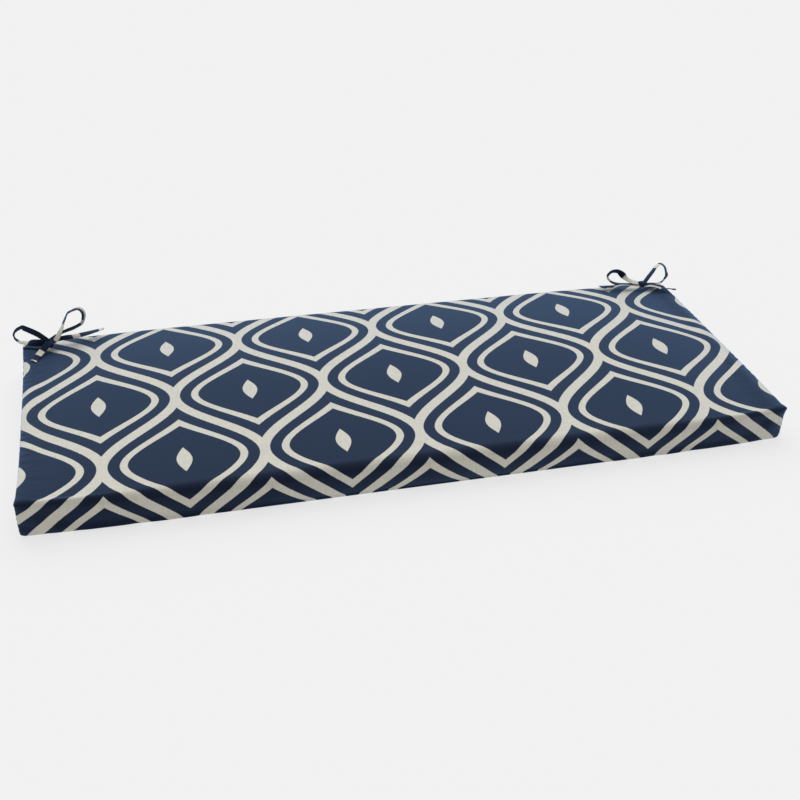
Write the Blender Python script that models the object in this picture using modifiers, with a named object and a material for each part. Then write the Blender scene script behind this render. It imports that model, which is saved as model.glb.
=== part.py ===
"""A bench cushion with a bow tie near each back corner.

Metres, +Z up. The cushion lies on Z = 0, its length runs along X and its front faces -Y.
The origin is the middle of the underside. Each piece is first made in a plain box of the
cut size, and filled() then moves its points to where the sewing and the filling take them.
"""

import math

import bmesh
import bpy
from mathutils import Quaternion, Vector

MM = 0.001

# The box that the cut and sewn cover would make if it were not filled.
LENGTH = 1.143
DEPTH = 0.457
HEIGHT = 0.0575

# The four long folds of the wrap panel: side (-1 front, 1 back), level (0 underside, 1 top), radius.
LONG_FOLDS = (
    (-1, 1, 0.014),
    (1, 1, 0.020),
    (-1, 0, 0.005),
    (1, 0, 0.008),
)
FOLD_SEGMENTS = 4

# What the filling does. The end seams (-1 left, 1 right) are pulled in at the left and pushed out at
# the right.
CROWN = 0.0127
CROWN_KEPT_AT_BACK = 0.22
LONG_SIDE_BOW = 0.006
LONG_SIDE_SWELL = 0.003
END_SEAM_PULL = {-1: 0.0043, 1: -0.0019}
END_PANEL_SWELL = 0.004

# How late each of these fades: 1 is a straight fall from the middle to the edge, more stays up longer.
FADE_TO_ENDS = 6
CROWN_FADE_TO_SIDES = 3
SEAM_PULL_FADE_TO_SIDES = 4
SEAM_PULL_FADE_TO_MIDDLE = 4
PANEL_SWELL_FADE_TO_SIDES = 10
PANEL_SWELL_FADE_INWARDS = 30
PANEL_SWELL_ROUNDNESS = 0.6
SIDE_SWELL_NEARNESS = 9

# What the end seams do: the cloth rolls in to them, and an ear stands out at each front top corner.
SEAM_ROLL = 0.0015
SEAM_ROLL_LENGTH = 0.009
EAR = Vector((0.003, -0.002, 0.0015))
EAR_SPREAD = 0.009
SQUARE_FOLD_POWER = 7.0
SQUARE_FOLD_LENGTH = 0.045

# End panels lie in a shallow tray inside the seam.
SEAM_LIP = 0.0015
TRAY_DEPTH = 0.0031
PANEL_THICKNESS = 0.0020
PANEL_INSET = 0.0001
GAP = 0.0003

# Where loops of edges cross the cushion.
DISTANCES_FROM_END_SEAM = (0.002, 0.005, 0.009, 0.018, 0.034, 0.062, 0.105, 0.17, 0.26, 0.36, 0.46)
SHARES_OF_DEPTH = (-0.475, -0.448, -0.40, -0.31, -0.20, -0.07, 0.07, 0.20, 0.31, 0.39, 0.437, 0.468)
SHARES_OF_HEIGHT = (0.28, 0.45, 0.60, 0.815)

# Ties: a folded strap of the cover's cloth.
STRAP_WIDTH = 0.0105
STRAP_THICKNESS = 0.0016
STEPS_PER_STRETCH = 4
KNOT_SIZE = Vector((0.0185, 0.0135, 0.0124))
KNOT_BAND_WIDTH = 0.0085
KNOT_BAND_RADIUS = 0.0064
KNOT_BAND_SIDES = 20

# Each strand of a tie: the heading of its width, in degrees from +X, the slant of its cut end in mm,
# and rows of along, back, up (mm from the knot's middle) and turn (degrees about its own run).
# The stem comes out of the end seam, the two loops make the bow, and the two tails hang free.
LEFT_TIE = {
    "knot": Vector((-0.529, 0.184, HEIGHT + 0.0067)),
    "knot_heading": 50,
    "strands": {
        "outer_loop": (90, 0, (
            (-1, 0, 3, 0),
            (-12, 5, 13, 55),
            (-24, 10, 21, 70),
            (-37, 15, 30, 60),
            (-48, 19, 28, 35),
            (-53, 19, 19, 10),
            (-49, 16, 11, 5),
            (-38, 11, 6, 8),
            (-22, 6, 3, 5),
            (-1, 0, -2, 0),
        )),
        "inner_loop": (90, 0, (
            (1, 0, 4, 0),
            (10, 3, 9, -12),
            (20, 7, 17, -22),
            (27, 12, 31, -26),
            (34, 17, 42, -32),
            (43, 20, 46, -40),
            (53, 23, 45, -42),
            (59, 23, 38, -33),
            (60, 22, 29, -12),
            (54, 20, 22, 15),
            (44, 16, 17, 38),
            (30, 10, 12, 40),
            (15, 4, 5, 20),
            (1, 0, 0, 0),
        )),
        "back_tail": (90, 4, (
            (2, 1, -3, 0),
            (15, 4, 0.5, 15),
            (28, 7, 2, 30),
            (50, 15, 1.5, 34),
            (65, 19, 1.5, 30),
            (89, 24, 3.5, 24),
        )),
        "front_tail": (-25, 4, (
            (0, 0, 0, 0),
            (-5, -4, -1, -5),
            (-10, -8, -3, -10),
            (-15, -14, -4, -14),
            (-21, -25, -4.2, -14),
            (-27, -39, -3.8, -14),
        )),
        "stem": (80, 0, (
            (0, 0, -1, 0),
            (-9, 3, -4.2, 0),
            (-19, 7, -5.2, 0),
            (-29, 12, -5.2, 0),
            (-39, 19, -5.2, 0),
        )),
    },
}
RIGHT_TIE = {
    "knot": Vector((0.522, 0.196, HEIGHT + 0.0070)),
    "knot_heading": 100,
    "strands": {
        "outer_loop": (90, 0, (
            (1, 0, 3, 0),
            (10, 4, 9, -8),
            (19, 8, 17, -10),
            (28, 12, 26, -14),
            (38, 15, 33, -26),
            (46, 16, 31, -20),
            (52, 15, 22, 5),
            (54, 13, 14, 24),
            (48, 9, 5, 42),
            (38, 5, 0, 36),
            (20, 2, -1, 28),
            (1, 0, -1, 0),
        )),
        "inner_loop": (90, 0, (
            (-1, 0, 4, 0),
            (-12, 2, 5, 30),
            (-24, 5, 10, 42),
            (-33, 9, 17, 42),
            (-43, 14, 24, 48),
            (-52, 17, 24, 50),
            (-58, 18, 18, 42),
            (-59, 17, 12, 24),
            (-55, 13, 6, 10),
            (-46, 8, 2, -10),
            (-30, 4, 0.5, -15),
            (-1, 0, 0, 0),
        )),
        "inner_tail": (90, 4, (
            (-1, -1, -3, 0),
            (-13, 2, -3, 0),
            (-24, 4, -3.6, 0),
            (-39, 5, -4, 0),
            (-54, 5, -4, 0),
            (-75, 6, -3, 5),
        )),
        "outer_tail": (60, 3, (
            (0, -1, 0, 0),
            (9, -6, -1.5, 5),
            (19, -10, -1.5, 5),
            (30, -15, -0.5, -15),
            (43, -19, 0, -25),
            (57, -21, 0.5, -25),
        )),
        "stem": (100, 0, (
            (0, 0, -2, 0),
            (8, 1, -3.4, 0),
            (18, 3, -4.6, 0),
            (32, 6, -4.6, 0),
            (47, 10, -4.6, 0),
        )),
    },
}

# Colours of the printed cloth, as linear light.
NAVY = (0.031, 0.052, 0.098, 1.0)
NAVY_SHADE = (0.022, 0.038, 0.072, 1.0)
CLOTH_ROUGHNESS = 0.9
SHARP_ANGLE = math.radians(50)


def limited(value, low=0.0, high=1.0):
    """The value, held between low and high."""
    return max(low, min(high, value))


def squared_fold(point):
    """The front top fold is round at mid length and turns square where it meets an end seam."""
    side, level, radius = LONG_FOLDS[0]
    centre = Vector((side * (DEPTH / 2 - radius), level * HEIGHT - radius))
    across = side * (point.y - centre.x)
    above = point.z - centre.y
    if across <= 0 or above <= 0:
        return point
    nearness = limited(1 - (LENGTH / 2 - abs(point.x)) / SQUARE_FOLD_LENGTH)
    power = 2 + (SQUARE_FOLD_POWER - 2) * nearness ** 2
    stretch = math.hypot(across, above) / (across ** power + above ** power) ** (1 / power)
    return Vector((point.x, centre.x + side * across * stretch, centre.y + above * stretch))


def filled(point):
    """Where a point of the plain box goes once the cushion is sewn and filled."""
    point = squared_fold(point)
    end = math.copysign(1, point.x)
    along = limited(abs(point.x) / (LENGTH / 2))
    across = limited(point.y / (DEPTH / 2), -1, 1)
    up = limited(point.z / HEIGHT)
    mid_length = 1 - along ** FADE_TO_ENDS
    mid_height = 1 - (2 * up - 1) ** 2

    # The end seams and the end panels between them.
    pull = END_SEAM_PULL[end] * along ** SEAM_PULL_FADE_TO_MIDDLE
    pull *= 1 - across ** SEAM_PULL_FADE_TO_SIDES
    panel_swell = END_PANEL_SWELL * along ** PANEL_SWELL_FADE_INWARDS
    panel_swell *= mid_height ** PANEL_SWELL_ROUNDNESS * (1 - across ** PANEL_SWELL_FADE_TO_SIDES)
    x = point.x + end * (panel_swell - pull)

    # The long sides bow out and swell at mid height.
    y = point.y * (1 + LONG_SIDE_BOW / (DEPTH / 2) * mid_length)
    y += across ** SIDE_SWELL_NEARNESS * LONG_SIDE_SWELL * mid_height * mid_length

    # The top is crowned, and the underside stays flat.
    fall = abs(across) ** CROWN_FADE_TO_SIDES
    if across > 0:
        fall *= 1 - CROWN_KEPT_AT_BACK
    z = point.z + CROWN * up * mid_length * (1 - fall)

    # The cloth rolls in to the end seams, and the corner is pinched out to its ear.
    rolled = limited(1 - (LENGTH / 2 - abs(point.x)) / SEAM_ROLL_LENGTH)
    inward = SEAM_ROLL * rolled ** 2
    y *= 1 - inward / (DEPTH / 2)
    z += inward * (1 - 2 * up)
    corner = Vector((end * LENGTH / 2, -DEPTH / 2, HEIGHT))
    pinch = math.exp(-(point - corner).length_squared / EAR_SPREAD ** 2)
    return Vector((x + end * EAR.x * pinch, y + EAR.y * pinch, z + EAR.z * pinch))


def boxed_fold(length, inset):
    """A bar of the cushion's section, drawn in by inset all round, with its four long folds rounded."""
    bar = bmesh.new()
    bmesh.ops.create_cube(bar, size=1)
    sides = Vector((length, DEPTH - 2 * inset, HEIGHT - 2 * inset))
    bmesh.ops.scale(bar, vec=sides, verts=bar.verts)
    bmesh.ops.translate(bar, vec=(0, 0, HEIGHT / 2), verts=bar.verts)
    for side, level, radius in LONG_FOLDS:
        corner_y = side * sides.y / 2
        corner_z = HEIGHT / 2 + (level - 0.5) * sides.z
        fold = [
            edge
            for edge in bar.edges
            if all(abs(v.co.y - corner_y) + abs(v.co.z - corner_z) < inset + MM for v in edge.verts)
        ]
        bmesh.ops.bevel(
            bar, geom=fold, offset=radius - inset, segments=FOLD_SEGMENTS, profile=0.5, affect="EDGES"
        )
    return bar


def cut_loops(bar, axis, places):
    """Edge loops round the bar at the given places along one axis."""
    for place in places:
        spot = Vector((0, 0, 0))
        normal = Vector((0, 0, 0))
        spot[axis] = place
        normal[axis] = 1
        everything = bar.verts[:] + bar.edges[:] + bar.faces[:]
        bmesh.ops.bisect_plane(bar, geom=everything, dist=MM / 100, plane_co=spot, plane_no=normal)


def cut_section_loops(bar):
    """The loops that let the section take its crown and its swell."""
    cut_loops(bar, 1, [share * DEPTH for share in SHARES_OF_DEPTH])
    cut_loops(bar, 2, [share * HEIGHT for share in SHARES_OF_HEIGHT])


def placed(name, mesh, colour, collection):
    """An object for a mesh, with its own cloth material."""
    mesh.shade_smooth()
    mesh.set_sharp_from_angle(angle=SHARP_ANGLE)
    cloth = bpy.data.materials.new(name + "_cloth")
    cloth.use_nodes = True
    shader = cloth.node_tree.nodes["Principled BSDF"]
    shader.inputs["Base Color"].default_value = colour
    shader.inputs["Roughness"].default_value = CLOTH_ROUGHNESS
    shader.inputs["Metallic"].default_value = 0
    mesh.materials.append(cloth)
    piece = bpy.data.objects.new(name, mesh)
    collection.objects.link(piece)
    return piece


def filled_object(name, shape, colour, collection):
    """An object made of a bmesh whose points are moved to the filled form."""
    for vert in shape.verts:
        vert.co = filled(vert.co)
    bmesh.ops.recalc_face_normals(shape, faces=shape.faces)
    mesh = bpy.data.meshes.new(name)
    shape.to_mesh(mesh)
    shape.free()
    return placed(name, mesh, colour, collection)


def cushion_body(collection):
    """The wrap panel and its filling: one solid, with a tray at each end for the end panel."""
    bar = boxed_fold(LENGTH, 0)
    ends = [face for face in bar.faces if abs(face.normal.x) > 0.9]
    bmesh.ops.inset_individual(bar, faces=ends, thickness=SEAM_LIP, use_even_offset=True)
    trays = bmesh.ops.extrude_discrete_faces(bar, faces=ends)["faces"]
    for tray in trays:
        inwards = Vector((-math.copysign(TRAY_DEPTH, tray.calc_center_median().x), 0, 0))
        bmesh.ops.translate(bar, vec=inwards, verts=tray.verts)
    cut_section_loops(bar)
    stations = [LENGTH / 2 - distance for distance in DISTANCES_FROM_END_SEAM]
    cut_loops(bar, 0, [0] + stations + [-station for station in stations])
    return filled_object("cushion_body", bar, NAVY, collection)


def end_panel(name, end, collection):
    """One end panel: a sheet in the body's tray, swelling out past the seam."""
    bar = boxed_fold(PANEL_THICKNESS, SEAM_LIP + GAP)
    cut_section_loops(bar)
    outer_face = LENGTH / 2 - PANEL_INSET
    bmesh.ops.translate(bar, vec=(end * (outer_face - PANEL_THICKNESS / 2), 0, 0), verts=bar.verts)
    return filled_object(name, bar, NAVY_SHADE, collection)


def curve_through(rows, steps):
    """Rows of a smooth curve through the given ones, with steps in each stretch (Catmull-Rom)."""
    before_first = 2 * rows[0] - rows[1]
    after_last = 2 * rows[-1] - rows[-2]
    guides = [before_first] + rows + [after_last]
    curve = []
    for previous, start, stop, following in zip(guides, guides[1:], guides[2:], guides[3:]):
        for step in range(steps):
            t = step / steps
            linear = (stop - previous) * t
            square = (2 * previous - 5 * start + 4 * stop - following) * t ** 2
            cube = (3 * start - previous - 3 * stop + following) * t ** 3
            curve.append((2 * start + linear + square + cube) / 2)
    return curve + [rows[-1]]


def strand(name, knot, heading, slant, rows, collection):
    """One strand of a tie: an open strip along its rows, made solid by a Solidify modifier."""
    curve = curve_through([Vector(row) for row in rows], STEPS_PER_STRETCH)
    path = [knot + Vector(row[:3]) * MM for row in curve]
    wide = Vector((math.cos(math.radians(heading)), math.sin(math.radians(heading)), 0))
    last = len(path) - 1
    strip = bmesh.new()
    rungs = []
    for place, (point, row) in enumerate(zip(path, curve)):
        run = (path[min(place + 1, last)] - path[max(place - 1, 0)]).normalized()
        half = (wide - run * wide.dot(run)).normalized() * STRAP_WIDTH / 2
        half.rotate(Quaternion(run, math.radians(row[3])))
        cut = run * slant * MM / 2 if place == last else Vector((0, 0, 0))
        corners = (point - half - cut, point + half + cut)
        rungs.append([strip.verts.new(filled(corner)) for corner in corners])
    for (a, b), (c, d) in zip(rungs, rungs[1:]):
        strip.faces.new((a, b, d, c))
    mesh = bpy.data.meshes.new(name)
    strip.to_mesh(mesh)
    strip.free()
    piece = bpy.data.objects.new(name, mesh)
    collection.objects.link(piece)
    solid = piece.modifiers.new("Thickness", "SOLIDIFY")
    solid.thickness = STRAP_THICKNESS
    solid.offset = 0
    solid.use_even_offset = True
    piece.hide_render = True
    piece.display_type = "WIRE"
    return piece


def knot_band(name, knot, heading, collection):
    """The turn of strap that goes round the middle of a bow."""
    ring = bmesh.new()
    bmesh.ops.create_cone(
        ring,
        cap_ends=True,
        segments=KNOT_BAND_SIDES,
        radius1=KNOT_BAND_RADIUS,
        radius2=KNOT_BAND_RADIUS,
        depth=KNOT_BAND_WIDTH,
    )
    mesh = bpy.data.meshes.new(name)
    ring.to_mesh(mesh)
    ring.free()
    piece = bpy.data.objects.new(name, mesh)
    piece.location = filled(knot)
    piece.rotation_euler = (0, math.radians(90), math.radians(heading))
    collection.objects.link(piece)
    piece.hide_render = True
    piece.display_type = "WIRE"
    return piece


def tie(name, plan, collection, cutters):
    """A tie: its knot, with the knot's band and the strands joined on."""
    knot = plan["knot"]
    lump = bmesh.new()
    bmesh.ops.create_icosphere(lump, subdivisions=3, radius=0.5)
    bmesh.ops.scale(lump, vec=KNOT_SIZE, verts=lump.verts)
    mesh = bpy.data.meshes.new(name)
    lump.to_mesh(mesh)
    lump.free()
    piece = placed(name, mesh, NAVY, collection)
    piece.location = filled(knot)
    piece.rotation_euler = (0, 0, math.radians(plan["knot_heading"]))
    joined = [knot_band(name + "_band", knot, plan["knot_heading"], cutters)]
    for strand_name, (heading, slant, rows) in plan["strands"].items():
        joined.append(strand(name + "_" + strand_name, knot, heading, slant, rows, cutters))
    for added in joined:
        union = piece.modifiers.new(added.name, "BOOLEAN")
        union.operation = "UNION"
        union.object = added
    return piece


for old in list(bpy.data.objects):
    bpy.data.objects.remove(old)

parts = bpy.data.collections.new("bench_cushion")
helpers = bpy.data.collections.new("bench_cushion_helpers")
for made in (parts, helpers):
    bpy.context.scene.collection.children.link(made)

cushion_body(parts)
end_panel("end_panel_left", -1, parts)
end_panel("end_panel_right", 1, parts)
tie("tie_left", LEFT_TIE, parts, helpers)
tie("tie_right", RIGHT_TIE, parts, helpers)
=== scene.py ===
import math

import bpy
import numpy as np
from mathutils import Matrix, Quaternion, Vector


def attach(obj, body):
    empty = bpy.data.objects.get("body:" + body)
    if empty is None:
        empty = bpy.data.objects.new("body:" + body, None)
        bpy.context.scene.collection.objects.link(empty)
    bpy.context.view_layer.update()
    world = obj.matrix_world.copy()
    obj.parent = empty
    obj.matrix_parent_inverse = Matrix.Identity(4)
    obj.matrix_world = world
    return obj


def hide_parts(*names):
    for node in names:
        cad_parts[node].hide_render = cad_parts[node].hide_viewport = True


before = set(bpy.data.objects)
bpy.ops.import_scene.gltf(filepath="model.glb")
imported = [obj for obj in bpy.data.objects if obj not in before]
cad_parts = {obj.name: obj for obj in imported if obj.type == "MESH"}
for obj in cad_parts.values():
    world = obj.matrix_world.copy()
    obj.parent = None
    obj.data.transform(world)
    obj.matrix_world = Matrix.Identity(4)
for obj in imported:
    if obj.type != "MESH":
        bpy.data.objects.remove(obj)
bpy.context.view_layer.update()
scene = bpy.context.scene

# --- Camera ---------------------------------------------------------------------------------------
# The viewpoint of the photograph: from above the left front corner, looking 32 degrees down and
# 15 degrees to the right, with a slight lean.
CAMERA_PLACE = (-0.39577, -1.52368, 0.98397)
LOOKING_DOWN = math.radians(31.851)
LOOKING_RIGHT = math.radians(15.114)
LEAN = math.radians(1.628)
SENSOR_WIDTH = 36
LENS = 51.40

camera = bpy.data.objects.new("camera", bpy.data.cameras.new("camera"))
camera.data.sensor_width = SENSOR_WIDTH
camera.data.lens = LENS
camera.location = CAMERA_PLACE
camera.rotation_mode = "QUATERNION"
camera.rotation_quaternion = (
    Quaternion((0, 0, 1), -LOOKING_RIGHT)
    @ Quaternion((1, 0, 0), math.pi / 2 - LOOKING_DOWN)
    @ Quaternion((0, 0, 1), LEAN)
)
scene.collection.objects.link(camera)
scene.camera = camera

# --- Wrap panel and filling -----------------------------------------------------------------------
# One printed cloth goes up the back, over the top, down the front and under, and is closed along the
# back's lower edge. Woven polyester over a soft fibre filling, which crowns the top. Its two ends are
# sewn to the end panels. It is cut in the plain box below, and the filling then swells it.
LENGTH = 1.143
DEPTH = 0.457
HEIGHT = 0.0575
BACK_TOP_FOLD = 0.020
FRONT_TOP_FOLD = 0.014
FRONT_LOWER_FOLD = 0.005
BACK_LOWER_FOLD = 0.008

CROWN = 0.0127
CROWN_CREST = 0.2
CROWN_KEPT_AT_BACK = 0.22
FRONT_FOLD_HANG = 0.0034
FRONT_FOLD_FORWARD = 0.0015
LONG_SIDE_BOW = 0.0066
LONG_SIDE_SWELL = 0.003
LEFT_SEAM_PULL = 0.0043
RIGHT_SEAM_PULL = -0.0019
LEFT_PANEL_SWELL = 0.0026
RIGHT_PANEL_SWELL = 0.0065
SHORT_SEAMS_HOLD = 0.75
SEAM_ROLL = 0.0015
SEAM_ROLL_LENGTH = 0.009
LEFT_EAR = (0.0020, -0.0012, 0.0006)
RIGHT_EAR = (0.0052, -0.0026, 0.0018)
EAR_SPREAD = (0.010, 0.006, 0.008)
SQUARE_FOLD_POWER = 7.0
SQUARE_FOLD_LENGTH = 0.045

# How late each of these fades: 1 is a straight fall, and more stays up longer.
FADE_TO_ENDS = 6
CROWN_FADE_TO_FRONT = 1.6
CROWN_FADE_TO_BACK = 2
SEAM_PULL_FADE_TO_SIDES = 4
FRONT_FOLD_FADE_TO_ENDS = 24
# How near its place each of these stays: more keeps it closer to the end seam, side or front fold.
# The side swell's is odd, so that the front swells forward and the back swells back.
SEAM_PULL_NEARNESS = 4
PANEL_SWELL_NEARNESS = 30
SHORT_SEAMS_NEARNESS = 36
SIDE_SWELL_NEARNESS = 9
FRONT_FOLD_HANG_NEARNESS = 2
FRONT_FOLD_FORWARD_NEARNESS = 18
# How full the end panels' swell is: 1 is a parabola from edge to edge, and less is blunter.
PANEL_SWELL_ROUNDNESS = 0.6


def squared_folds(points):
    """The front folds are round at mid length and turn square where they meet an end seam."""
    nearness = np.clip(1 - (LENGTH / 2 - np.abs(points[:, 0])) / SQUARE_FOLD_LENGTH, 0, 1)
    power = 2 + (SQUARE_FOLD_POWER - 2) * nearness ** 2
    squared = points.copy()
    for radius, centre_z, upwards in (
        (FRONT_TOP_FOLD, HEIGHT - FRONT_TOP_FOLD, 1),
        (FRONT_LOWER_FOLD, FRONT_LOWER_FOLD, -1),
    ):
        forward = radius - DEPTH / 2 - points[:, 1]
        beyond = upwards * (points[:, 2] - centre_z)
        on_fold = (forward > 0) & (beyond > 0)
        forward = np.where(on_fold, forward, 1)
        beyond = np.where(on_fold, beyond, 1)
        stretch = np.hypot(forward, beyond) / (forward ** power + beyond ** power) ** (1 / power)
        squared[:, 1] = np.where(on_fold, radius - DEPTH / 2 - forward * stretch, squared[:, 1])
        squared[:, 2] = np.where(on_fold, centre_z + upwards * beyond * stretch, squared[:, 2])
    return squared


def filled(points):
    """Where points of the plain box go once the cushion is sewn and filled."""
    points = squared_folds(np.atleast_2d(np.asarray(points, float)))
    end = np.where(points[:, 0] < 0, -1.0, 1.0)
    along = np.clip(np.abs(points[:, 0]) / (LENGTH / 2), 0, 1)
    across = np.clip(points[:, 1] / (DEPTH / 2), -1, 1)
    up = np.clip(points[:, 2] / HEIGHT, 0, 1)
    mid_length = 1 - along ** FADE_TO_ENDS
    mid_height = 1 - (2 * up - 1) ** 2

    # The end seams, drawn in or pushed out at mid depth, and the end panels between them.
    pull = np.where(end < 0, LEFT_SEAM_PULL, RIGHT_SEAM_PULL) * along ** SEAM_PULL_NEARNESS
    pull *= 1 - across ** SEAM_PULL_FADE_TO_SIDES
    swell = np.where(end < 0, LEFT_PANEL_SWELL, RIGHT_PANEL_SWELL)
    swell *= (
        along ** PANEL_SWELL_NEARNESS
        * mid_height ** PANEL_SWELL_ROUNDNESS
        * (1 - SHORT_SEAMS_HOLD * across ** SHORT_SEAMS_NEARNESS)
    )
    x = points[:, 0] + end * (swell - pull)

    # The long sides bow out and swell at mid height.
    y = points[:, 1] * (1 + LONG_SIDE_BOW / (DEPTH / 2) * mid_length)
    y += across ** SIDE_SWELL_NEARNESS * LONG_SIDE_SWELL * mid_height * mid_length

    # The top is crowned, its front fold hangs forward and low, and the underside is flat.
    to_front = np.clip((CROWN_CREST - across) / (1 + CROWN_CREST), 0, 1)
    to_back = np.clip((across - CROWN_CREST) / (1 - CROWN_CREST), 0, 1)
    fall = to_front ** CROWN_FADE_TO_FRONT + to_back ** CROWN_FADE_TO_BACK * (1 - CROWN_KEPT_AT_BACK)
    hang = up * (1 - along ** FRONT_FOLD_FADE_TO_ENDS)
    y -= FRONT_FOLD_FORWARD * hang * to_front ** FRONT_FOLD_FORWARD_NEARNESS
    z = points[:, 2] + CROWN * up * mid_length * (1 - fall)
    z -= FRONT_FOLD_HANG * hang * to_front ** FRONT_FOLD_HANG_NEARNESS

    # The cloth rolls in to the end seams, and each front top corner is pinched out to its ear.
    rolled = np.clip(1 - (LENGTH / 2 - np.abs(points[:, 0])) / SEAM_ROLL_LENGTH, 0, 1)
    inward = SEAM_ROLL * rolled ** 2
    y *= 1 - inward / (DEPTH / 2)
    z += inward * (1 - 2 * up)
    corner = np.column_stack((end * LENGTH / 2, end * 0 - DEPTH / 2, end * 0 + HEIGHT))
    pinch = np.exp(-(((points - corner) / EAR_SPREAD) ** 2).sum(1))
    ear = np.where(end[:, None] < 0, LEFT_EAR, RIGHT_EAR)
    ear[:, 0] *= end
    return np.column_stack((x, y, z)) + pinch[:, None] * ear


# The section round the wrap panel, with as many places on the top as on the underside and as many on
# the front as on the back, so that the same rings also close the ends.
PLACES_ON_TOP = 70
PLACES_ON_FRONT = 6
PLACES_ON_FOLD = 6


def section(inset):
    """A ring of (y, z) round the plain box, drawn in by inset, and the way round to each place."""
    half = DEPTH / 2 - inset
    low = inset
    high = HEIGHT - inset
    folds = (
        (half, low, BACK_LOWER_FOLD, -90),
        (half, high, BACK_TOP_FOLD, 0),
        (-half, high, FRONT_TOP_FOLD, 90),
        (-half, low, FRONT_LOWER_FOLD, 180),
    )
    ring = []
    for corner_y, corner_z, full_radius, first_turn in folds:
        radius = full_radius - inset
        centre_y = corner_y - math.copysign(radius, corner_y)
        centre_z = corner_z + (radius if corner_z == low else -radius)
        places_before_next = PLACES_ON_FRONT if first_turn in (-90, 90) else PLACES_ON_TOP
        arc = []
        for step in range(PLACES_ON_FOLD + 1):
            turn = math.radians(first_turn + 90 * step / PLACES_ON_FOLD)
            arc.append((centre_y + radius * math.cos(turn), centre_z + radius * math.sin(turn)))
        ring.append((arc, places_before_next))
    places = []
    for (arc, count), (next_arc, _) in zip(ring, ring[1:] + ring[:1]):
        places += arc[:-1]
        start = np.array(arc[-1])
        stop = np.array(next_arc[0])
        places += [tuple(start + (stop - start) * step / count) for step in range(count)]
    places = np.array(places)
    steps = np.linalg.norm(np.roll(places, -1, axis=0) - places, axis=1)
    way_round = np.concatenate(((0,), np.cumsum(steps)))
    return places, way_round


def closing_grid(ring):
    """A ring's own grid of quads: ring numbers at its rim, and new places inside it."""
    wide = PLACES_ON_TOP + PLACES_ON_FOLD
    tall = PLACES_ON_FRONT + PLACES_ON_FOLD
    first = PLACES_ON_FOLD // 2
    count = len(ring)
    back = [(first + step) % count for step in range(tall + 1)]
    top = [(first + tall + step) % count for step in range(wide + 1)]
    front = [(first + tall + wide + step) % count for step in range(tall + 1)][::-1]
    under = [(first + 2 * tall + wide + step) % count for step in range(wide + 1)][::-1]
    numbers = -np.ones((wide + 1, tall + 1), int)
    numbers[0, :] = back
    numbers[-1, :] = front
    numbers[:, -1] = top
    numbers[:, 0] = under
    u = np.linspace(0, 1, wide + 1)[:, None, None]
    v = np.linspace(0, 1, tall + 1)[None, :, None]
    rim = (
        (1 - u) * ring[back][None] + u * ring[front][None]
        + (1 - v) * ring[under][:, None] + v * ring[top][:, None]
    )
    corners = (
        (1 - u) * (1 - v) * ring[under[0]] + u * (1 - v) * ring[under[-1]]
        + (1 - u) * v * ring[top[0]] + u * v * ring[top[-1]]
    )
    return numbers, rim - corners


class Cut:
    """Places in the plain box, faces between them, and each face's own places on the flat cloth."""

    def __init__(self):
        self.places = []
        self.faces = []
        self.flat = []

    def add_ring(self, x, ring):
        start = len(self.places)
        self.places += [(x, y, z) for y, z in ring]
        return list(range(start, start + len(ring)))

    def add_band(self, ring_a, ring_b, flat_a, flat_b, way_round, outwards):
        count = len(ring_a)
        for here in range(count):
            there = (here + 1) % count
            face = [ring_a[here], ring_a[there], ring_b[there], ring_b[here]]
            flat = [
                (flat_a, way_round[here]),
                (flat_a, way_round[here + 1]),
                (flat_b, way_round[here + 1]),
                (flat_b, way_round[here]),
            ]
            self.faces.append(face if outwards else face[::-1])
            self.flat.append(flat if outwards else flat[::-1])

    def add_closing(self, x, ring_numbers, ring, outwards):
        numbers, inside = closing_grid(ring)
        grid = np.empty(numbers.shape, int)
        for place, number in np.ndenumerate(numbers):
            if number >= 0:
                grid[place] = ring_numbers[number]
            else:
                grid[place] = len(self.places)
                self.places.append((x, *inside[place]))
        for u in range(grid.shape[0] - 1):
            for v in range(grid.shape[1] - 1):
                corners = [(u, v), (u, v + 1), (u + 1, v + 1), (u + 1, v)]
                if not outwards:
                    corners.reverse()
                self.faces.append([grid[corner] for corner in corners])
                self.flat.append([tuple(inside[corner]) for corner in corners])


def mesh_of(name, cut, points):
    """A mesh of the cut's faces at the given points, with the flat cloth as its UV map."""
    mesh = bpy.data.meshes.new(name)
    mesh.from_pydata(points, [], cut.faces)
    flat = mesh.uv_layers.new(name="flat_cloth")
    flat.data.foreach_set("uv", np.array(cut.flat, float).ravel())
    cut_place = mesh.attributes.new("cut_place", "FLOAT_VECTOR", "POINT")
    cut_place.data.foreach_set("vector", np.array(cut.places, float).ravel())
    mesh.shade_smooth()
    return mesh


def points_of(mesh):
    """The mesh's points as an array, a row for each."""
    points = np.empty(len(mesh.vertices) * 3)
    mesh.vertices.foreach_get("co", points)
    return points.reshape(-1, 3)


def placed(name, mesh):
    """The mesh as an object of the scene."""
    piece = bpy.data.objects.new(name, mesh)
    scene.collection.objects.link(piece)
    return piece


def modifiers_applied(piece):
    """Makes what the piece's modifiers give its own mesh."""
    shown = piece.evaluated_get(bpy.context.evaluated_depsgraph_get())
    made = bpy.data.meshes.new_from_object(shown)
    piece.modifiers.clear()
    piece.data = made


def subdivided(piece):
    """Gives the piece four smooth faces for each one that it has."""
    finer = piece.modifiers.new("finer", "SUBSURF")
    finer.levels = 1
    finer.render_levels = 1
    modifiers_applied(piece)


# Rings along the cushion: distance from the end seam, and how far the ring is drawn in there.
SEAM_RINGS = ((0.0, 0.0009), (0.0013, 0.0002), (0.0038, 0), (0.008, 0), (0.014, 0), (0.022, 0))
RING_SPACING = 0.0104
LIP_INSET = 0.0015
TRAY_DEPTH = 0.0031

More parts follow.
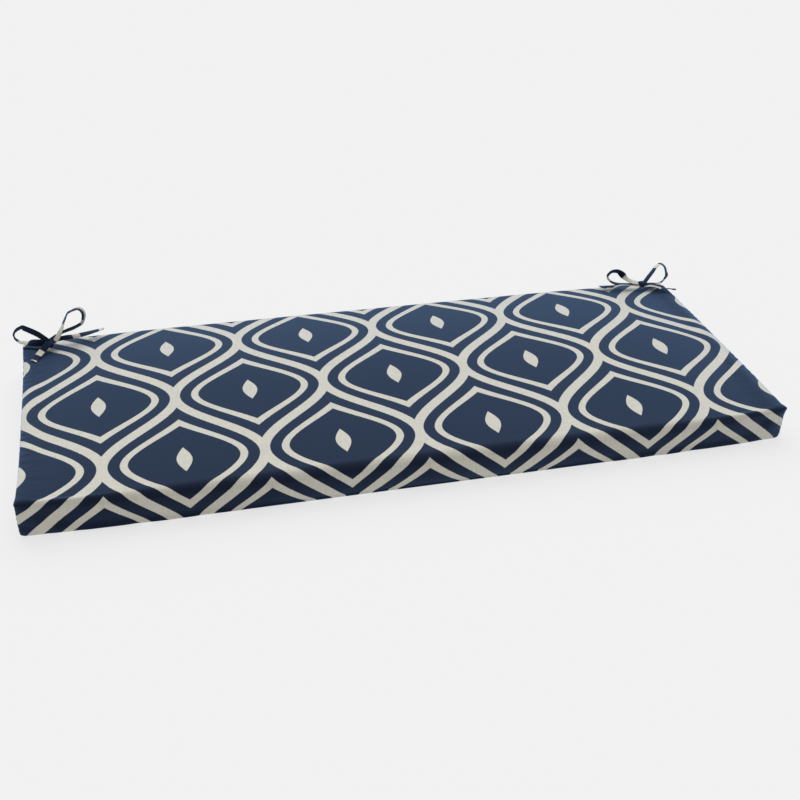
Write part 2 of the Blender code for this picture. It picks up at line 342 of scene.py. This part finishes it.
half_rings = [(LENGTH / 2 - distance, inset) for distance, inset in SEAM_RINGS]
inner_half = half_rings[-1][0]
plain_count = 2 * round(inner_half / RING_SPACING)
plain_rings = [(-inner_half + 2 * inner_half * step / plain_count, 0) for step in range(1, plain_count)]
rings = [(-x, inset) for x, inset in half_rings] + plain_rings + half_rings[::-1]

wrap = Cut()
numbers = []
for x, inset in rings:
    ring, way_round = section(inset)
    numbers.append(wrap.add_ring(x, ring))
full_ring, full_way_round = section(0)
for (x, _), (next_x, _), ring_a, ring_b in zip(rings, rings[1:], numbers, numbers[1:]):
    wrap.add_band(ring_a, ring_b, x, next_x, full_way_round, outwards=False)
tray_ring, _ = section(LIP_INSET)
for end, rim in ((-1, numbers[0]), (1, numbers[-1])):
    tray_x = end * (LENGTH / 2 - TRAY_DEPTH)
    mouth = wrap.add_ring(end * (LENGTH / 2 - LIP_INSET / 2), tray_ring)
    floor_rim = wrap.add_ring(tray_x, tray_ring)
    turned_in = end * (LENGTH / 2 + LIP_INSET)
    turned_down = end * (LENGTH / 2 + TRAY_DEPTH)
    wrap.add_band(rim, mouth, end * LENGTH / 2, turned_in, full_way_round, outwards=end < 0)
    wrap.add_band(mouth, floor_rim, turned_in, turned_down, full_way_round, outwards=end < 0)
    wrap.add_closing(tray_x, floor_rim, tray_ring, outwards=end < 0)

aim = filled(wrap.places)
cushion = placed("cushion", mesh_of("cushion", wrap, aim))

# The filling: the cover starts slightly small and is blown up against its sewn ends and its flat
# underside, which are held, so that the cloth between takes its own swell and slack. No point ends up
# more than PLAY from where the plain shape puts it.
START_SMALLER = 0.003
SLACK = 0.004
HELD_NEAR_SEAM = 0.006
FREE_FROM_SEAM = 0.030
PLAY = 0.0022
LEAST_MOVE = 1e-9
LAST_FRAME = 20

cut_places = np.array(wrap.places)
from_end = LENGTH / 2 - np.abs(cut_places[:, 0])
held = 1 - np.clip((from_end - HELD_NEAR_SEAM) / (FREE_FROM_SEAM - HELD_NEAR_SEAM), 0, 1)
on_underside = cut_places[:, 2] < FRONT_LOWER_FOLD / 2
free = np.where(on_underside, 0, 1 - held)
normals = np.array([corner.vector for corner in cushion.data.vertex_normals])
start = aim - normals * START_SMALLER * free[:, None]
cushion.data.vertices.foreach_set("co", start.ravel())
sewn = cushion.vertex_groups.new(name="sewn")
for number, hold in enumerate(1 - free):
    if hold > 0:
        sewn.add([number], float(hold), "REPLACE")
filling = cushion.modifiers.new("filling", "CLOTH")
filling.settings.quality = 6
filling.settings.mass = 0.2
filling.settings.tension_stiffness = 30
filling.settings.compression_stiffness = 30
filling.settings.shear_stiffness = 10
filling.settings.bending_stiffness = 1.5
filling.settings.use_pressure = True
filling.settings.uniform_pressure_force = 4
filling.settings.vertex_group_mass = "sewn"
filling.settings.shrink_min = -SLACK
filling.settings.effector_weights.gravity = 0
filling.collision_settings.use_collision = False
filling.point_cache.frame_start = 1
filling.point_cache.frame_end = LAST_FRAME
for frame_number in range(1, LAST_FRAME + 1):
    scene.frame_set(frame_number)
modifiers_applied(cushion)
moved = points_of(cushion.data) - aim
size = np.linalg.norm(moved, axis=1)[:, None] + LEAST_MOVE
aim = aim + moved / size * PLAY * np.tanh(size / PLAY)
cushion.data.vertices.foreach_set("co", aim.ravel())
subdivided(cushion)

# Small puckers run in from the end seams, where the cloth is eased on to the end panels. They are
# uneven: their spacing wanders, and their depth comes and goes round the seam. Each wave of that has
# its amount, its length in metres and where it starts, in radians.
PUCKER_DEPTH = 0.00045
PUCKER_PITCH = 0.0145
PUCKER_REACH = 0.012
PUCKER_WANDER = ((1.6, 0.083, 0), (0.9, 0.037, 1))
PUCKER_MEAN_STRENGTH = 0.6
PUCKER_STRENGTH_WAVE = (0.4, 0.21, 2)
# Puckers are a little closer on the short sides of the seam: a step up counts this much.
STEP_UP = 1.3


def puckered(mesh):
    """Draws the mesh's points in along its normals where the end seams pucker the cloth."""
    points = points_of(mesh)
    place = np.empty(len(points) * 3)
    mesh.attributes["cut_place"].data.foreach_get("vector", place)
    place = place.reshape(-1, 3)
    normals = np.array([corner.vector for corner in mesh.vertex_normals])
    round_seam = place[:, 1] + place[:, 2] * STEP_UP
    from_seam = LENGTH / 2 - np.abs(place[:, 0])

    def unevenness(amount, length, start):
        return amount * np.sin(round_seam * math.tau / length + start)

    wander = sum(unevenness(*row) for row in PUCKER_WANDER)
    wave = np.sin(round_seam * math.tau / PUCKER_PITCH + wander)
    strength = PUCKER_MEAN_STRENGTH + unevenness(*PUCKER_STRENGTH_WAVE)
    depth = PUCKER_DEPTH * wave * strength * np.exp(-((from_seam / PUCKER_REACH) ** 2))
    depth *= np.clip(place[:, 2] / BACK_LOWER_FOLD, 0, 1)
    mesh.vertices.foreach_set("co", (points - normals * depth[:, None]).ravel())


puckered(cushion.data)

# The cloth: plain-woven polyester, printed. The print is a plain half-drop ogee lattice in pale
# grey-cream on navy, with a finer line inside each cell and a leaf at its middle.
NAVY = "#0F1326"
CREAM = "#D3CFC0"
OGEE_WIDTH = LENGTH / 5
OGEE_HEIGHT = 0.300
OGEE_BAND = 0.015
INNER_LINE = 0.011
INNER_LINE_INSET = 0.030
LEAF_WIDTH = 0.022
LEAF_HEIGHT = 0.052
# Past this many half heights the leaf's cosine would bring its outline back.
LEAF_CUT_OFF = 2.0
PRINT_EDGE = 0.0004
# Real threads lie about 0.5 mm apart; they are drawn 1.2 mm apart to show at all.
THREAD_SPACING = 0.0012
THREAD_HEIGHT = 0.0003
THREAD_SHARE_OF_RELIEF = 0.35
RELIEF_STRENGTH = 0.5
SLUB_LENGTH = 0.022
# The two slub noises add up to these, which shade the cloth by the shares below them.
SLUB_LOW = 0.7
SLUB_HIGH = 1.3
SLUB_DARKENS = 0.9
SLUB_LIGHTENS = 1.1
# Spun polyester scatters light: it has little shine, and a soft bluish bloom at a glancing angle.
YARN_ROUGHNESS = 0.85
YARN_SHINE = 0.12
BLOOM_ROUGHNESS = 0.5
BLOOM_TINT = "#8EC2FF"


def linear(hex_colour):
    """An sRGB hex colour as linear light."""
    channels = [int(hex_colour[place:place + 2], 16) / 255 for place in (1, 3, 5)]
    return [c / 12.92 if c <= 0.04045 else ((c + 0.055) / 1.055) ** 2.4 for c in channels] + [1]


def add(tree, kind, inputs=None, **settings):
    """A node of that kind with its settings; an input is a value, a socket, or a node's first output."""
    node = tree.nodes.new(kind)
    for name, value in settings.items():
        setattr(node, name, value)
    for name, value in (inputs or {}).items():
        if isinstance(value, bpy.types.Node):
            value = value.outputs[0]
        if isinstance(value, bpy.types.NodeSocket):
            tree.links.new(value, node.inputs[name])
        else:
            node.inputs[name].default_value = value
    return node


def ogee_print(tree):
    """How deep inside a cream band each place of the flat cloth lies, in metres."""
    flat = add(tree, "ShaderNodeUVMap", uv_map="flat_cloth")
    place = add(tree, "ShaderNodeSeparateXYZ", {0: flat})
    x = add(tree, "ShaderNodeMath", {0: place.outputs[0], 1: OGEE_WIDTH / 2}, operation="PINGPONG")
    y = add(tree, "ShaderNodeMath", {0: place.outputs[1], 1: OGEE_HEIGHT / 2}, operation="PINGPONG")
    turn = add(tree, "ShaderNodeMath", {0: y, 1: math.tau / OGEE_HEIGHT}, operation="MULTIPLY")
    rise = add(tree, "ShaderNodeMath", {0: turn}, operation="COSINE")
    lean = add(tree, "ShaderNodeMath", {0: turn}, operation="SINE")
    quarter = OGEE_WIDTH / 4
    edge = add(tree, "ShaderNodeMath", {0: rise, 1: quarter, 2: quarter}, operation="MULTIPLY_ADD")
    slope = add(
        tree, "ShaderNodeMath", {0: lean, 1: quarter * math.tau / OGEE_HEIGHT}, operation="MULTIPLY"
    )
    slope_squared = add(tree, "ShaderNodeMath", {0: slope, 1: slope, 2: 1}, operation="MULTIPLY_ADD")
    stretch = add(tree, "ShaderNodeMath", {0: slope_squared}, operation="SQRT")
    beside = add(tree, "ShaderNodeMath", {0: x, 1: edge}, operation="SUBTRACT")
    apart = add(tree, "ShaderNodeMath", {0: beside}, operation="ABSOLUTE")
    distance = add(tree, "ShaderNodeMath", {0: apart, 1: stretch}, operation="DIVIDE")
    band = add(tree, "ShaderNodeMath", {0: OGEE_BAND / 2, 1: distance}, operation="SUBTRACT")
    from_line = add(tree, "ShaderNodeMath", {0: distance, 1: INNER_LINE_INSET}, operation="SUBTRACT")
    off_line = add(tree, "ShaderNodeMath", {0: from_line}, operation="ABSOLUTE")
    line = add(tree, "ShaderNodeMath", {0: INNER_LINE / 2, 1: off_line}, operation="SUBTRACT")
    depth = add(tree, "ShaderNodeMath", {0: band, 1: line}, operation="MAXIMUM")
    far_x = add(tree, "ShaderNodeMath", {0: OGEE_WIDTH / 2, 1: x}, operation="SUBTRACT")
    far_y = add(tree, "ShaderNodeMath", {0: OGEE_HEIGHT / 2, 1: y}, operation="SUBTRACT")
    for leaf_x, leaf_y in ((x, y), (far_x, far_y)):
        share = add(tree, "ShaderNodeMath", {0: leaf_y, 1: LEAF_HEIGHT / 2}, operation="DIVIDE")
        within = add(tree, "ShaderNodeMath", {0: share, 1: LEAF_CUT_OFF}, operation="MINIMUM")
        taper = add(tree, "ShaderNodeMath", {0: within, 1: math.pi / 2}, operation="MULTIPLY")
        full = add(tree, "ShaderNodeMath", {0: taper}, operation="COSINE")
        reach = add(tree, "ShaderNodeMath", {0: full, 1: LEAF_WIDTH / 2}, operation="MULTIPLY")
        leaf = add(tree, "ShaderNodeMath", {0: reach, 1: leaf_x}, operation="SUBTRACT")
        depth = add(tree, "ShaderNodeMath", {0: depth, 1: leaf}, operation="MAXIMUM")
    return depth


def band_depth(tree):
    """The same for a piece whose points carry that depth themselves."""
    return add(tree, "ShaderNodeAttribute", attribute_name="cream_depth").outputs["Fac"]


def printed_polyester(name, print_depth, bloom):
    """Matt plain-woven polyester with a soft bluish bloom, and the print sunk into its threads."""
    material = bpy.data.materials.new(name)
    material.use_nodes = True
    tree = material.node_tree
    shader = tree.nodes["Principled BSDF"]
    flat = add(tree, "ShaderNodeUVMap", uv_map="flat_cloth")

    # The threads: crossing waves, one over the other in turn, with slubs along each thread.
    place = add(tree, "ShaderNodeSeparateXYZ", {0: flat})
    turns = math.pi / THREAD_SPACING
    along = add(tree, "ShaderNodeMath", {0: place.outputs[0], 1: turns}, operation="MULTIPLY")
    across = add(tree, "ShaderNodeMath", {0: place.outputs[1], 1: turns}, operation="MULTIPLY")
    warp = add(tree, "ShaderNodeMath", {0: along}, operation="SINE")
    weft = add(tree, "ShaderNodeMath", {0: across}, operation="SINE")
    weave = add(tree, "ShaderNodeMath", {0: warp, 1: weft}, operation="MULTIPLY")
    slubs = []
    for stretch_x, stretch_y in ((THREAD_SPACING, SLUB_LENGTH), (SLUB_LENGTH, THREAD_SPACING)):
        scale = (1 / stretch_x, 1 / stretch_y, 1)
        drawn = add(tree, "ShaderNodeVectorMath", {0: flat, 1: scale}, operation="MULTIPLY")
        slubs.append(add(tree, "ShaderNodeTexNoise", {"Vector": drawn, "Scale": 1, "Detail": 1}))
    slub = add(tree, "ShaderNodeMath", {0: slubs[0], 1: slubs[1]}, operation="ADD")
    relief = add(
        tree, "ShaderNodeMath", {0: weave, 1: THREAD_SHARE_OF_RELIEF, 2: slub}, operation="MULTIPLY_ADD"
    )
    bump = add(
        tree,
        "ShaderNodeBump",
        {"Height": relief, "Strength": RELIEF_STRENGTH, "Distance": THREAD_HEIGHT},
    )

    # The print, whose edge follows the slubs a little.
    depth = print_depth(tree)
    rough_edge = add(tree, "ShaderNodeMath", {0: slub, 1: PRINT_EDGE, 2: depth}, operation="MULTIPLY_ADD")
    inked = add(
        tree,
        "ShaderNodeMapRange",
        {"Value": rough_edge, "From Min": 0.0, "From Max": 2 * PRINT_EDGE},
    )
    colour = add(
        tree,
        "ShaderNodeMix",
        {"Factor": inked.outputs[0], "A": linear(NAVY), "B": linear(CREAM)},
        data_type="RGBA",
    )
    shade = add(
        tree,
        "ShaderNodeMapRange",
        {
            "Value": slub,
            "From Min": SLUB_LOW,
            "From Max": SLUB_HIGH,
            "To Min": SLUB_DARKENS,
            "To Max": SLUB_LIGHTENS,
        },
    )
    shaded = add(
        tree,
        "ShaderNodeVectorMath",
        {0: colour.outputs["Result"], "Scale": shade.outputs[0]},
        operation="SCALE",
    )
    tree.links.new(shaded.outputs[0], shader.inputs["Base Color"])
    tree.links.new(bump.outputs[0], shader.inputs["Normal"])
    shader.inputs["Roughness"].default_value = YARN_ROUGHNESS
    shader.inputs["Specular IOR Level"].default_value = YARN_SHINE
    shader.inputs["Sheen Weight"].default_value = bloom
    shader.inputs["Sheen Roughness"].default_value = BLOOM_ROUGHNESS
    shader.inputs["Sheen Tint"].default_value = linear(BLOOM_TINT)
    return material


cover_cloth = printed_polyester("woven_polyester_printed", ogee_print, bloom=0.66)
cushion.data.materials.append(cover_cloth)
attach(cushion, "root")
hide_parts("cushion_body")

# --- End panels -----------------------------------------------------------------------------------
# A long narrow piece of the same cloth closes each end. Its edge is turned in and sewn to the wrap
# panel's edge all the way round, and the filling pushes its middle out past the seam.
PANEL_EDGE = 0.0018
PANEL_INSET = 0.0001
PANEL_THICKNESS = 0.0020
EDGE_TURNED_IN = 0.0012
PRINT_SHIFT = {-1: (0.06, 0.11), 1: (0.02, 0.03)}

for side_name, end in (("left", -1), ("right", 1)):
    rim, way_round = section(PANEL_EDGE)
    outer_x = end * (LENGTH / 2 - PANEL_INSET)
    inner_x = end * (LENGTH / 2 - PANEL_INSET - PANEL_THICKNESS)
    panel = Cut()
    outer_rim = panel.add_ring(outer_x - end * EDGE_TURNED_IN, rim)
    inner_rim = panel.add_ring(inner_x, rim)
    panel.add_closing(outer_x, outer_rim, rim, outwards=end > 0)
    panel.add_closing(inner_x, inner_rim, rim, outwards=end < 0)
    panel.add_band(outer_rim, inner_rim, 0, PANEL_THICKNESS, way_round, outwards=end > 0)
    shift = PRINT_SHIFT[end]
    panel.flat = [[(y + shift[0], z + shift[1]) for y, z in face] for face in panel.flat]
    name = side_name + "_end_panel"
    piece = placed(name, mesh_of(name, panel, filled(panel.places)))
    subdivided(piece)
    puckered(piece.data)
    piece.data.materials.append(cover_cloth)
    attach(piece, "root")
    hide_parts("end_panel_" + side_name)

# --- Ties -----------------------------------------------------------------------------------------
# Each tie is one strap: a strip of the cover's cloth folded in four to 11.5 mm and stitched along its
# open edge. Its middle is caught in the end seam at the back corner, and it is tied in a bow.
MM = 0.001
STRAP_WIDTH = 0.0115
STRAP_THICKNESS = 0.0016
STRAP_SIDES = 16
# The strap's section: 1 is an ellipse, and less is squarer. Its stitched edge is pressed thinner than
# the folded one, from STITCHED_FROM of the way out, and its middle is fuller.
STRAP_SQUARENESS = 0.55
STITCHED_FROM = 0.45
STITCHED_THINNER = 0.22
MIDDLE_FULLER = 0.12
# A place on the strap that is in no cream band lies this far outside one.
NO_BAND = -0.02
STEPS_PER_STRETCH = 10
RUN_STEPS = STEPS_PER_STRETCH // 3

# The knot's middle is a place in the plain box, before the filling lifts it.
# The turn of strap round the knot: the heading of its width, in degrees from +X, how far it reaches to
# the side and up, and how far its middle lies above the knot's, in mm.
# Each strand: the heading of its width, in degrees from +X, the slant of its cut end in mm, rows of
# along, back, up (mm from the knot's middle) and turn (degrees about its own run), and the stretches,
# in row numbers, where a cream band of the print crosses it: all of it (0) or one half (1 or -1).
LEFT_TIE = {
    "knot": (-0.529, 0.184, HEIGHT + 0.0067),
    "turn": (-25, 6.0, 4.2, 0.5),
    "strands": {
        "outer_loop": (90, 0, (
            (-1, 1, 6, 66),
            (-8, 3, 12.5, 69),
            (-16, 6, 19, 73),
            (-25, 9, 24.5, 74),
            (-34, 12, 29.5, 70),
            (-40, 15, 32, 62),
            (-46, 17, 29.5, 48),
            (-51, 18, 24, 31),
            (-53, 19, 18.5, 9),
            (-52, 18, 13, -1),
            (-47, 16, 8.5, -4),
            (-41, 13, 6.5, -1),
            (-34, 10, 4.5, 6),
            (-26, 7, 4.5, 42),
            (-14, 4, 3.5, 61),
            (0, 1, 2.5, 61),
        ), ((9.9, 12.2, 0),)),
        "inner_loop": (90, 0, (
            (5, 0, 2, 29),
            (11, 1, 6, 34),
            (16, 2, 12, 34),
            (20, 4, 18.5, 25),
            (24, 8, 24.5, 13),
            (27, 13, 30, 5),
            (31, 15, 37, 2),
            (35, 17, 43.5, -4),
            (40, 19, 45.5, -8),
            (47, 21, 47, -5),
            (52, 22, 47.5, 5),
            (57, 23, 44, 20),
            (60, 23, 38, 31),
            (60, 22, 32, 38),
            (58, 21, 25.5, 37),
            (55, 19, 21.5, 46),
            (48, 17, 18.5, 50),
            (41, 14, 17, 54),
            (32, 13, 15, 52),
            (22, 12, 12.5, 48),
            (12, 10, 9, 46),
            (2, 7, 5, 45),
        ), ((0.2, 4.6, 0), (9.4, 13.9, 1), (13.8, 15.2, 0))),
        "back_tail": (90, 4, (
            (5, 1, 4.5, 4),
            (15, 4, 5.5, 12),
            (28, 7, 5, 14),
            (38, 11, 3, 12),
            (50, 15, 2, 14),
            (63, 19, 2, 8),
            (76, 22, 3, -1),
            (89, 24, 4.5, -8),
        ), ((3.0, 4.0, 0), (6.4, 8.0, 0))),
        "front_tail": (-25, 4, (
            (14, 17, 1, -31),
            (10, 6, 5, -29),
            (4, -2, 6, -23),
            (-2, -8, 4.5, -14),
            (-7, -12, 1.5, -10),
            (-12, -16, -1.5, -12),
            (-17, -22, -3.5, -14),
            (-22, -30, -4.5, -14),
            (-26, -39, -4.5, -13),
        ), ((4.9, 6.3, 0), (7.75, 8.8, 0))),
        "stem": (80, 0, (
            (0, 0, -1, 0),
            (-9, 3, -4.2, 0),
            (-19, 7, -5.2, 0),
            (-29, 12, -5.2, 0),
            (-39, 19, -5.2, 0),
        ), ()),
    },
}
RIGHT_TIE = {
    "knot": (0.522, 0.196, HEIGHT + 0.0070),
    "turn": (10, 6.5, 4.5, 1.0),
    "strands": {
        "outer_loop": (90, 0, (
            (3, 1, -1.5, -1),
            (8, 3, 5, 0),
            (15, 6, 13, -1),
            (23, 9, 22, -4),
            (29, 12, 29, -11),
            (36, 15, 32.5, -15),
            (41, 16, 33, 1),
            (47, 16, 30, 24),
            (50, 15, 25.5, 37),
            (52, 14, 18.5, 41),
            (53, 13, 12.5, 58),
            (49, 11, 7.5, 50),
            (45, 9, 3, 30),
            (40, 7, 0, 20),
            (32, 5, -0.5, 17),
            (22, 3, 0.5, 16),
            (12, 1, 1.5, 16),
            (1, 0, 1, 16),
        ), ((3.7, 5.2, 0), (13.2, 14.6, 0))),
        "inner_loop": (90, 0, (
            (-2, 1, 0.5, -16),
            (-10, 2, 3.5, -18),
            (-19, 4, 5.5, -25),
            (-28, 6, 10.5, -39),
            (-34, 9, 16, -87),
            (-40, 12, 21.5, -124),
            (-45, 15, 23, -122),
            (-51, 17, 22, -122),
            (-55, 18, 19.5, -123),
            (-59, 18, 15, -125),
            (-60, 17, 10.5, -143),
            (-58, 15, 6.5, -158),
            (-54, 12, 3, -168),
            (-48, 9, 1, -175),
            (-40, 7, 0.5, -188),
            (-29, 4, 1, -192),
            (-16, 2, 1, -191),
            (-2, 0, 0, -188),
        ), ((0.3, 3.75, 0), (9.7, 11.5, 0))),
        "inner_tail": (90, 4, (
            (-2, -1, -1, 2),
            (-15, 0, -0.5, 4),
            (-28, 2, 0.5, 8),
            (-41, 3, 0, 9),
            (-52, 4, -2.5, 5),
            (-65, 5, -3, 2),
            (-77, 6, -2.5, 7),
        ), ((-0.5, 4.05, 0),)),
        "outer_tail": (60, 3, (
            (2, -1, -2, -3),
            (8, -4, -1, -3),
            (15, -7, 0.5, -4),
            (24, -10, 0, -2),
            (31, -14, -1.5, -7),
            (40, -17, -1.5, -13),
            (48, -19, 0.5, -14),
            (57, -21, 0.5, -15),
        ), ((0.4, 2.3, 0), (2.2, 3.6, -1), (3.5, 4.1, 0))),
        "stem": (100, 0, (
            (0, 0, -2, 0),
            (8, 1, -3.4, 0),
            (18, 3, -4.6, 0),
            (31, 6, -5.4, 0),
            (44, 9, -8, 0),
        ), ()),
    },
}
# The strap gathered inside each knot: how far along, across and up it reaches, in mm, in how many
# rows, and how far short of a point its ends stop, in radians.
KNOT_LUMP = (16, 10.5, 8.0)
KNOT_ROWS = 9
KNOT_END_SHORT = 0.3
# The turn of strap round it, in degrees from the top, winds along by KNOT_TURN_PITCH in a whole turn
# and is at the knot's middle after KNOT_TURN_CENTRE of one. It is gathered to a share of its width.
KNOT_TURN_DEGREES = range(-110, 300, 10)
KNOT_TURN_PITCH = 0.003
KNOT_TURN_CENTRE = 0.28
KNOT_TURN_SPREAD = 0.9


def curve_through(rows, steps):
    """Rows of a smooth curve through the given ones, with steps in each stretch (Catmull-Rom)."""
    rows = [np.array(row, float) for row in rows]
    guides = [2 * rows[0] - rows[1]] + rows + [2 * rows[-1] - rows[-2]]
    curve = []
    for previous, start, stop, following in zip(guides, guides[1:], guides[2:], guides[3:]):
        for step in range(steps):
            t = step / steps
            linear_part = (stop - previous) * t
            square = (2 * previous - 5 * start + 4 * stop - following) * t ** 2
            cube = (3 * start - previous - 3 * stop + following) * t ** 3
            curve.append((2 * start + linear_part + square + cube) / 2)
    return np.array(curve + [rows[-1]])


class Strap:
    """The strands of one tie as one mesh, with the strap's own flat cloth and its cream bands."""

    def __init__(self):
        self.points = []
        self.faces = []
        self.flat = []
        self.cream = []
        self.length = 0.0

    def add_strand(self, middles, halves, cream=(), thickness=STRAP_THICKNESS):
        """A folded strap along its middles: halves reach from each middle to the strap's edge."""
        middles = np.array(middles)
        halves = np.array(halves)
        runs = np.gradient(middles, axis=0)
        ups = np.cross(runs, halves)
        ups /= np.linalg.norm(ups, axis=1)[:, None]
        thicknesses = np.broadcast_to(thickness, len(middles))
        steps = np.linalg.norm(np.diff(middles, axis=0), axis=1)
        way = np.concatenate(((0,), np.cumsum(steps)))
        rows_apart = len(way) - 1
        first = len(self.points)
        for row, (middle, half, up, thick) in enumerate(zip(middles, halves, ups, thicknesses)):
            for side in range(STRAP_SIDES):
                turn = math.tau * side / STRAP_SIDES
                across = math.copysign(abs(math.cos(turn)) ** STRAP_SQUARENESS, math.cos(turn))
                fullness = 1 - STITCHED_THINNER * (across > STITCHED_FROM)
                fullness += MIDDLE_FULLER * (1 - across ** 2)
                self.points.append(middle + half * across + up * math.sin(turn) * fullness * thick / 2)
                depth = NO_BAND
                for start, stop, half_only in cream:
                    start_way, stop_way = np.interp((start, stop), range(rows_apart + 1), way)
                    inside = (stop_way - start_way) / 2 - abs(way[row] - (start_way + stop_way) / 2)
                    if half_only:
                        inside = min(inside, half_only * across * STRAP_WIDTH / 2)
                    depth = max(depth, inside)
                self.cream.append(depth)
        ways = self.length + way
        self.length = ways[-1]
        for row in range(rows_apart):
            for side in range(STRAP_SIDES):
                beside = (side + 1) % STRAP_SIDES
                self.faces.append([
                    first + row * STRAP_SIDES + side,
                    first + (row + 1) * STRAP_SIDES + side,
                    first + (row + 1) * STRAP_SIDES + beside,
                    first + row * STRAP_SIDES + beside,
                ])
                spans = np.array((side, side, side + 1, side + 1)) / STRAP_SIDES * 2 * STRAP_WIDTH
                self.flat += list(zip(ways[[row, row + 1, row + 1, row]], spans))
        for row, backwards in ((0, False), (rows_apart, True)):
            cap = [first + row * STRAP_SIDES + side for side in range(STRAP_SIDES)]
            self.faces.append(cap[::-1] if backwards else cap)
            self.flat += [(ways[row], 0.0)] * STRAP_SIDES


def bow(name, plan):
    """One tie: its strands, the strap gathered in its knot and the turn of strap round that."""
    knot = np.array(plan["knot"])
    strap = Strap()
    for heading, slant, rows, cream in plan["strands"].values():
        curve = curve_through(rows, STEPS_PER_STRETCH)
        path = knot + curve[:, :3] * MM
        wide = Vector((math.cos(math.radians(heading)), math.sin(math.radians(heading)), 0))
        halves = []
        for number, row in enumerate(curve):
            before = path[max(number - RUN_STEPS, 0)]
            after = path[min(number + RUN_STEPS, len(path) - 1)]
            run = Vector(after - before).normalized()
            half = (wide - run * wide.dot(run)).normalized() * STRAP_WIDTH / 2
            half.rotate(Quaternion(run, math.radians(row[3])))
            halves.append(half)
        halves[-1] += run * slant * MM / 2
        halves = np.array(halves)
        left_edge = filled(path - halves)
        right_edge = filled(path + halves)
        in_steps = [
            (start * STEPS_PER_STRETCH, stop * STEPS_PER_STRETCH, half_only)
            for start, stop, half_only in cream
        ]
        strap.add_strand((left_edge + right_edge) / 2, (right_edge - left_edge) / 2, in_steps)

    heading, turn_reach, turn_height, turn_up = plan["turn"]
    centre = filled(knot)[0] + np.array((0, 0, turn_up * MM))
    axis = np.array((math.cos(math.radians(heading)), math.sin(math.radians(heading)), 0))
    side = np.array((-axis[1], axis[0], 0))
    top = np.array((0, 0, 1))
    lump_length, lump_width, lump_height = KNOT_LUMP
    middles = [centre + axis * lump_length * MM * share for share in np.linspace(-0.5, 0.5, KNOT_ROWS)]
    fullness = np.sin(np.linspace(KNOT_END_SHORT, math.pi - KNOT_END_SHORT, KNOT_ROWS))
    halves = [side * lump_width * MM / 2 * full for full in fullness]
    strap.add_strand(middles, halves, thickness=lump_height * MM * fullness)
    middles = [
        centre
        + side * math.sin(turn) * turn_reach * MM
        + top * math.cos(turn) * turn_height * MM
        + axis * KNOT_TURN_PITCH * (turn / math.tau - KNOT_TURN_CENTRE)
        for turn in np.radians(KNOT_TURN_DEGREES)
    ]
    strap.add_strand(middles, [axis * STRAP_WIDTH / 2 * KNOT_TURN_SPREAD] * len(middles))

    mesh = bpy.data.meshes.new(name)
    mesh.from_pydata(strap.points, [], strap.faces)
    flat = mesh.uv_layers.new(name="flat_cloth")
    flat.data.foreach_set("uv", np.array(strap.flat, float).ravel())
    cream_depth = mesh.attributes.new("cream_depth", "FLOAT", "POINT")
    cream_depth.data.foreach_set("value", strap.cream)
    mesh.shade_smooth()
    return placed(name, mesh), strap.length


tie_cloth = printed_polyester("woven_polyester_strap", band_depth, bloom=0.5)
for side_name, plan in (("left", LEFT_TIE), ("right", RIGHT_TIE)):
    piece, strap_length = bow(side_name + "_bow_tie", plan)
    piece.data.materials.append(tie_cloth)
    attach(piece, "root")
    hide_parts("tie_" + side_name)

# --- Floor and light ------------------------------------------------------------------------------
# A pale light table of matt acrylic, lit from below, so that its surface has no shine and shows only a
# faint shadow. Its far edge lies out of the photograph's view. One wide soft light stands behind and
# above it, with the bright room round it.
FLOOR = "#707070"
FLOOR_GLOW = 0.713
FLOOR_SIDE = 400
FLOOR_BELOW = 0.0002
LIGHT = "#FFFFFF"
SOFTBOX_STRENGTH = 2.62
SOFTBOX_SPREAD = math.radians(72)
SOFTBOX_TILT = (math.radians(-38), 0, 0)
ROOM_LIGHT = 0.39

bpy.ops.mesh.primitive_plane_add(size=FLOOR_SIDE, location=(0, 0, -FLOOR_BELOW))
floor = bpy.context.object
floor.name = "floor"
lit_table = bpy.data.materials.new("matt_acrylic_light_table")
lit_table.use_nodes = True
table_shader = lit_table.node_tree.nodes["Principled BSDF"]
table_shader.inputs["Base Color"].default_value = linear(FLOOR)
table_shader.inputs["Roughness"].default_value = 1
table_shader.inputs["Specular IOR Level"].default_value = 0
table_shader.inputs["Emission Color"].default_value = linear(LIGHT)
table_shader.inputs["Emission Strength"].default_value = FLOOR_GLOW
floor.data.materials.append(lit_table)

softbox = bpy.data.objects.new("softbox", bpy.data.lights.new("softbox", "SUN"))
softbox.data.energy = SOFTBOX_STRENGTH
softbox.data.angle = SOFTBOX_SPREAD
softbox.rotation_euler = SOFTBOX_TILT
scene.collection.objects.link(softbox)

room = bpy.data.worlds.new("room")
room.use_nodes = True
background = room.node_tree.nodes["Background"]
background.inputs["Color"].default_value = linear(LIGHT)
background.inputs["Strength"].default_value = ROOM_LIGHT
scene.world = room
scene.view_settings.view_transform = "Standard"
